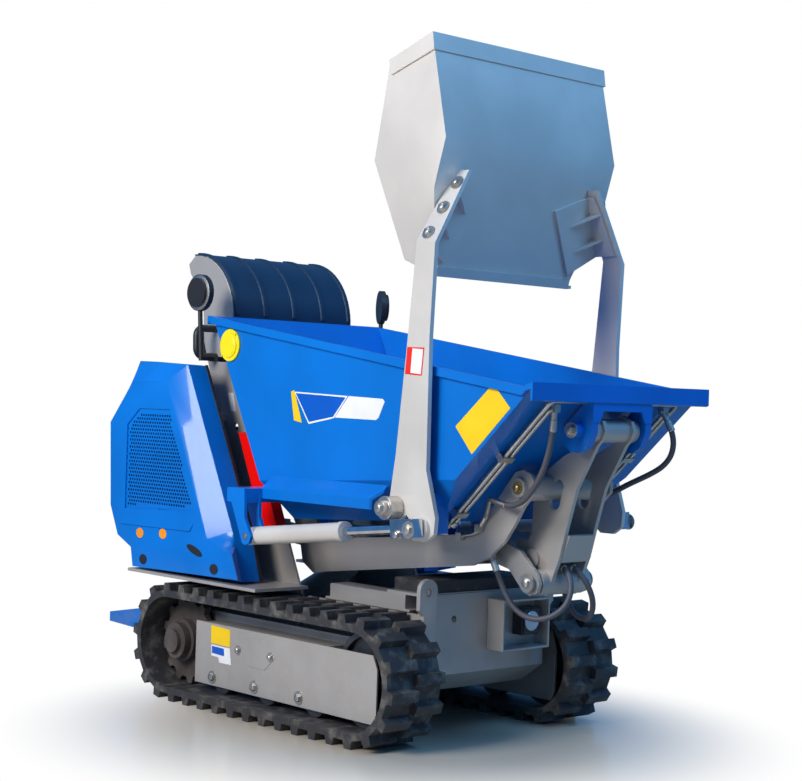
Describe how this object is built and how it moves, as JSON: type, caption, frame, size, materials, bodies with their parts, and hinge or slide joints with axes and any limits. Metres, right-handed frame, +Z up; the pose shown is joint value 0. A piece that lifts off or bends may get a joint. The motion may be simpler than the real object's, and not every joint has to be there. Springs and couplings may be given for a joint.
{
  "type": "tracked site dumper",
  "caption": "Compact site dumper on rubber tracks with a high-lift tipping skip, side engine cover, rear console and step, and a self-loading shovel on side arms.",
  "frame": {"origin": "on the ground under the machine's middle, midway between the two track axles", "axes": "+X forward, where the skip empties; +Y to the machine's left; +Z up"},
  "size_m": [1.9, 0.85, 1.84],
  "materials": {
    "blue_paint": "gloss",
    "grey_paint": "satin",
    "red_paint": "gloss",
    "black_rubber": "matte",
    "hub_paint": "matte",
    "dark_steel": "matte",
    "navy_plastic": "satin",
    "black_plastic": "satin",
    "lamp_black": "gloss",
    "chrome_rod": "polished",
    "zinc_steel": "satin",
    "yellow_marker": "gloss"
  },
  "bodies": {
    "frame": {"chassis": "grey_paint", "console": "black_plastic", "control_levers": "black_plastic", "deck_covers": "grey_paint", "engine_block": "dark_steel", "front_buffer": "black_rubber", "front_lamp": "lamp_black", "grab_handles": "black_plastic", "guard_sides": "grey_paint", "idler_left": "dark_steel", "idler_right": "dark_steel", "lamp_bracket": "grey_paint", "mirror_left": "black_plastic", "mirror_right": "black_plastic", "rollers_left": "dark_steel", "rollers_right": "dark_steel", "safety_channel": "red_paint", "sprocket_left": "hub_paint", "sprocket_right": "hub_paint", "tank_cover": "blue_paint", "tower": "grey_paint", "tower_guard": "navy_plastic", "track_frame_left": "grey_paint", "track_frame_right": "grey_paint", "track_left": "black_rubber", "track_right": "black_rubber"},
    "lift_arm": {"lift_arm": "grey_paint", "neck_pipe_right": "zinc_steel", "neck_pipe_left": "zinc_steel"},
    "lower_arm": {"lower_arm": "grey_paint"},
    "carrier": {"carrier": "grey_paint", "hose_lower_right": "black_rubber", "hose_lower_left": "black_rubber"},
    "skip": {"skip": "blue_paint", "arm_pins": "zinc_steel", "skip_pipes_right": "zinc_steel", "skip_pipes_left": "zinc_steel", "hose_upper_right": "black_rubber", "hose_upper_left": "black_rubber", "side_marker": "yellow_marker"},
    "shovel": {"shovel": "grey_paint", "shovel_arm_right": "grey_paint", "shovel_arm_left": "grey_paint"},
    "hood": {"hood": "blue_paint", "hood_grille": "blue_paint"},
    "step": {"step_platform": "blue_paint"},
    "lift_barrel": {"lift_barrel": "grey_paint"},
    "lift_rod": {"lift_rod": "chrome_rod"},
    "tip_barrel": {"tip_barrel": "grey_paint"},
    "tip_stage": {"tip_stage": "chrome_rod"},
    "tip_stage_inner": {"tip_stage_inner": "chrome_rod"},
    "tip_rod": {"tip_rod": "chrome_rod"},
    "shovel_barrel_right": {"shovel_barrel_right": "grey_paint"},
    "shovel_rod_right": {"shovel_rod_right": "chrome_rod"},
    "shovel_barrel_left": {"shovel_barrel_left": "grey_paint"},
    "shovel_rod_left": {"shovel_rod_left": "chrome_rod"}
  },
  "joints": [
    {"name": "lift", "type": "hinge", "parent": "frame", "child": "lift_arm", "pos_m": [-0.262, 0, 0.74], "axis": [0, -1, 0], "range_deg": [0, 50]},
    {"name": "lower_arm_turn", "type": "hinge", "parent": "frame", "child": "lower_arm", "pos_m": [-0.271, 0, 0.496], "axis": [0, -1, 0], "range_deg": [0, 50]},
    {"name": "carrier_level", "type": "hinge", "parent": "lift_arm", "child": "carrier", "pos_m": [0.745, 0, 0.686], "axis": [0, 1, 0], "range_deg": [0, 50], "deforming": ["hose_lower_left", "hose_lower_right"]},
    {"name": "tip", "type": "hinge", "parent": "carrier", "child": "skip", "pos_m": [0.9, 0, 0.837], "axis": [0, 1, 0], "range_deg": [0, 80], "deforming": ["hose_upper_left", "hose_upper_right"]},
    {"name": "shovel_swing", "type": "hinge", "parent": "skip", "child": "shovel", "pos_m": [0.509, 0, 0.624], "axis": [0, 1, 0], "range_deg": [0, 118]},
    {"name": "hood_open", "type": "hinge", "parent": "frame", "child": "hood", "pos_m": [-0.756, -0.318, 0.36], "axis": [0, 0, -1], "range_deg": [0, 95]},
    {"name": "step_fold", "type": "hinge", "parent": "frame", "child": "step", "pos_m": [-0.655, 0, 0.226], "axis": [0, 1, 0], "range_deg": [0, 66]},
    {"name": "lift_cylinder_turn", "type": "hinge", "parent": "frame", "child": "lift_barrel", "pos_m": [-0.43, 0, 0.24], "axis": [0, -1, 0], "range_deg": [-0.01, 13.44]},
    {"name": "lift_cylinder_slide", "type": "slide", "parent": "lift_barrel", "child": "lift_rod", "axis": [0.8944, 0, 0.4472], "range_m": [-0.0005, 0.2905]},
    {"name": "tip_cylinder_turn", "type": "hinge", "parent": "carrier", "child": "tip_barrel", "pos_m": [0.704, 0, 0.5], "axis": [0, -1, 0], "range_deg": [-65.2, 0.01]},
    {"name": "tip_stage_slide", "type": "slide", "parent": "tip_barrel", "child": "tip_stage", "axis": [-0.9813, 0, 0.1924], "range_m": [0, 0.1643]},
    {"name": "tip_inner_slide", "type": "slide", "parent": "tip_stage", "child": "tip_stage_inner", "axis": [-0.9813, 0, 0.1924], "range_m": [0, 0.1643]},
    {"name": "tip_rod_slide", "type": "slide", "parent": "tip_stage_inner", "child": "tip_rod", "axis": [-0.9813, 0, 0.1924], "range_m": [0, 0.1643]},
    {"name": "shovel_cylinder_right_turn", "type": "hinge", "parent": "skip", "child": "shovel_barrel_right", "pos_m": [-0.045, -0.394, 0.509], "axis": [0, -1, 0], "range_deg": [-1.19, 0.01]},
    {"name": "shovel_cylinder_right_slide", "type": "slide", "parent": "shovel_barrel_right", "child": "shovel_rod_right", "axis": [0.9943, 0, 0.1064], "range_m": [-0.1885, 0.0005]},
    {"name": "shovel_cylinder_left_turn", "type": "hinge", "parent": "skip", "child": "shovel_barrel_left", "pos_m": [-0.045, 0.394, 0.509], "axis": [0, -1, 0], "range_deg": [-1.19, 0.01]},
    {"name": "shovel_cylinder_left_slide", "type": "slide", "parent": "shovel_barrel_left", "child": "shovel_rod_left", "axis": [0.9943, 0, 0.1064], "range_m": [-0.1885, 0.0005]}
  ],
  "couplings": [
    {"joint": "lower_arm_turn", "follows": "lift", "ratio": 1},
    {"joint": "carrier_level", "follows": "lift", "ratio": 1},
    {"joint": "lift_cylinder_turn", "follows": "lift", "ratio": 0.26853},
    {"joint": "lift_cylinder_slide", "follows": "lift", "m_per_rad": 0.33237},
    {"joint": "tip_stage_slide", "follows": "tip", "m_per_rad": 0.11732},
    {"joint": "tip_inner_slide", "follows": "tip", "m_per_rad": 0.11732},
    {"joint": "tip_rod_slide", "follows": "tip", "m_per_rad": 0.11732},
    {"joint": "tip_cylinder_turn", "follows": "tip", "ratio": -0.81474},
    {"joint": "shovel_cylinder_right_turn", "follows": "shovel_swing", "ratio": -0.01},
    {"joint": "shovel_cylinder_right_slide", "follows": "shovel_swing", "m_per_rad": -0.09127},
    {"joint": "shovel_cylinder_left_turn", "follows": "shovel_swing", "ratio": -0.01},
    {"joint": "shovel_cylinder_left_slide", "follows": "shovel_swing", "m_per_rad": -0.09127}
  ]
}
